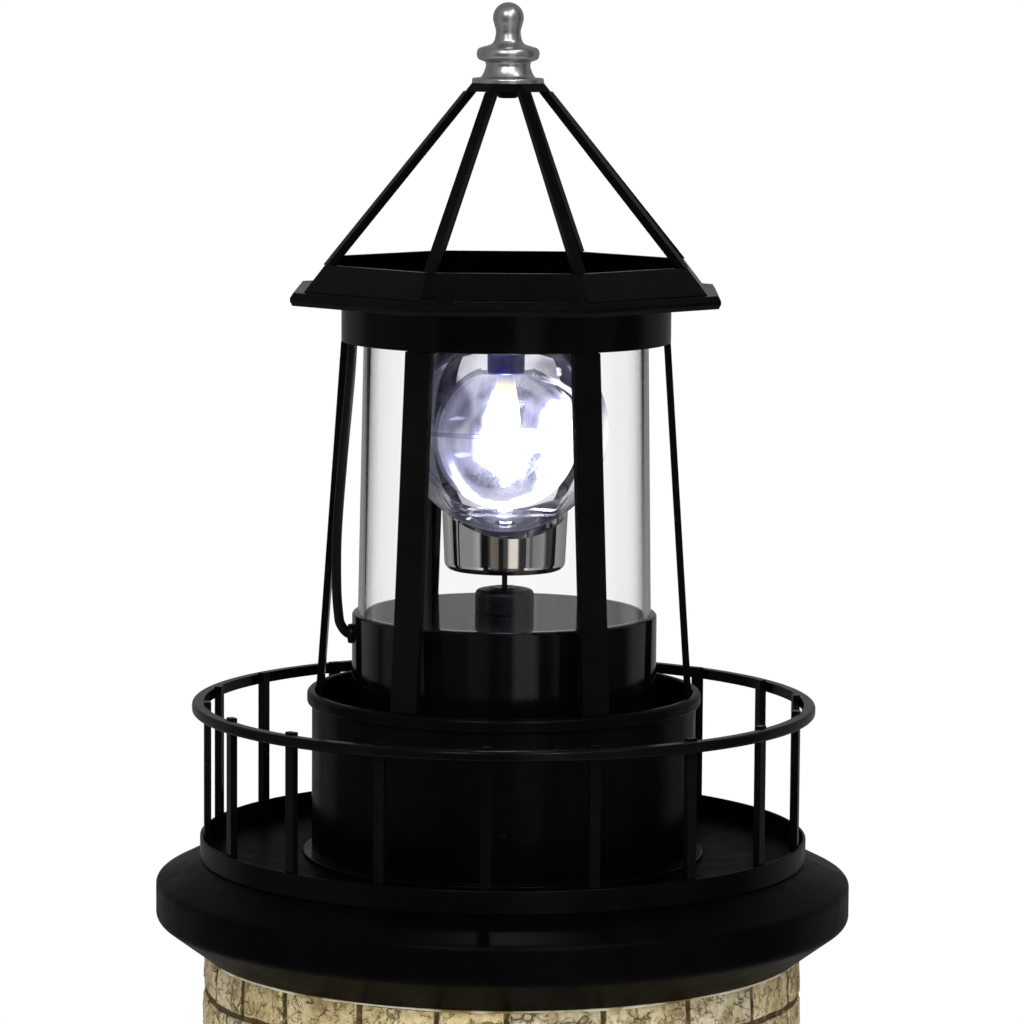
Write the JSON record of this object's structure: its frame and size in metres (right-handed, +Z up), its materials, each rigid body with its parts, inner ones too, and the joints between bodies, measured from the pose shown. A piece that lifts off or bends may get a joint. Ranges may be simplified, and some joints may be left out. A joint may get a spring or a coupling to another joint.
{
  "type": "garden lighthouse ornament",
  "caption": "Tall stone-look lighthouse ornament with a railed gallery, a glazed solar lantern whose clear globe and mirror turn, and an open ribbed roof.",
  "frame": {"origin": "centre of the foot, on the ground", "axes": "+Z up along the tower's axis, -Y is the front that the picture shows, +X to the right"},
  "size_m": [0.2318, 0.2316, 0.9141],
  "materials": {
    "stone": "rough cast blocks, beige to pale grey, with brownish joints",
    "slab_black": "matte black, slightly grainy",
    "black_metal": "satin black paint",
    "roof_metal": "satin black paint",
    "satin_metal": "satin turned",
    "screw_steel": "zinc plated",
    "black_screws": "black",
    "pin_steel": "ground",
    "motor_steel": "plated can",
    "bush_brass": "turned",
    "contact_metal": "nickel plated",
    "grey_plastic": "matte",
    "black_plastic": "matte",
    "gloss_grey": "glossy dark grey",
    "gear_plastic": "natural nylon",
    "red_plastic": "glossy",
    "cell_wrap": "sleeved",
    "board_green": "solder mask",
    "solar_cells": "dark cells under clear resin",
    "clear_tube": "clear, polished",
    "clear_globe": "clear, polished",
    "mirror_dish": "plated dish",
    "bright_chrome": "polished",
    "led_light": "lit diffuser, cold white",
    "lead_rubber": "satin black"
  },
  "bodies": {
    "lighthouse": {"tower": "stone", "base_plate": "grey_plastic", "base_plate_screws": "screw_steel", "gallery_slab": "slab_black", "slab_screws": "screw_steel", "gallery_tray": "black_metal", "toe_board": "black_metal", "railing_posts": "black_metal", "railing_rail": "black_metal", "lantern_drum": "black_metal", "drum_screws": "black_screws", "cage_posts": "black_metal", "cage_band": "black_metal", "eave_plate": "roof_metal", "roof_skirt": "roof_metal", "roof_ribs": "roof_metal", "roof_cap": "roof_metal", "finial_screw": "screw_steel", "finial": "satin_metal", "solar_housing": "black_plastic", "solar_panel": "solar_cells", "led_holder": "black_plastic", "led_lamp": "led_light", "clear_tube": "clear_tube", "lamp_base": "gloss_grey", "bearing_cap": "gloss_grey", "shaft_bush": "bush_brass", "gear_plate": "gear_plastic", "gear_plate_screws": "screw_steel", "idler_pin": "pin_steel", "motor": "motor_steel", "base_cover": "gloss_grey", "base_cover_screws": "screw_steel", "battery_holder": "black_plastic", "battery_contacts": "contact_metal", "battery_cells": "cell_wrap", "circuit_board": "board_green", "switch_body": "black_plastic", "lead_grommet": "lead_rubber", "solar_lead": "lead_rubber"},
    "beacon": {"beacon_shaft": "pin_steel", "drive_gear": "gear_plastic", "bright_cup": "bright_chrome", "globe_lower": "clear_globe", "globe_upper": "clear_globe", "beam_mirror": "mirror_dish"},
    "idler": {"idler_gear": "gear_plastic"},
    "pinion": {"motor_pinion": "gear_plastic"},
    "switch_knob": {"switch_slider": "red_plastic"}
  },
  "joints": [
    {"name": "beacon_spin", "type": "hinge", "parent": "lighthouse", "child": "beacon", "pos_m": [0, 0, 0.739], "axis": [0, 0, 1], "continuous": true},
    {"name": "idler_spin", "type": "hinge", "parent": "lighthouse", "child": "idler", "pos_m": [0.0168, 0, 0.729], "axis": [0, 0, 1], "continuous": true},
    {"name": "pinion_spin", "type": "hinge", "parent": "lighthouse", "child": "pinion", "pos_m": [0.0084, 0.01455, 0.729], "axis": [0, 0, 1], "continuous": true},
    {"name": "switch_slide", "type": "slide", "parent": "lighthouse", "child": "switch_knob", "axis": [0, 0, 1], "range_m": [0, 0.004]}
  ],
  "couplings": [
    {"joint": "idler_spin", "follows": "beacon_spin", "ratio": -3},
    {"joint": "pinion_spin", "follows": "beacon_spin", "ratio": 9}
  ]
}
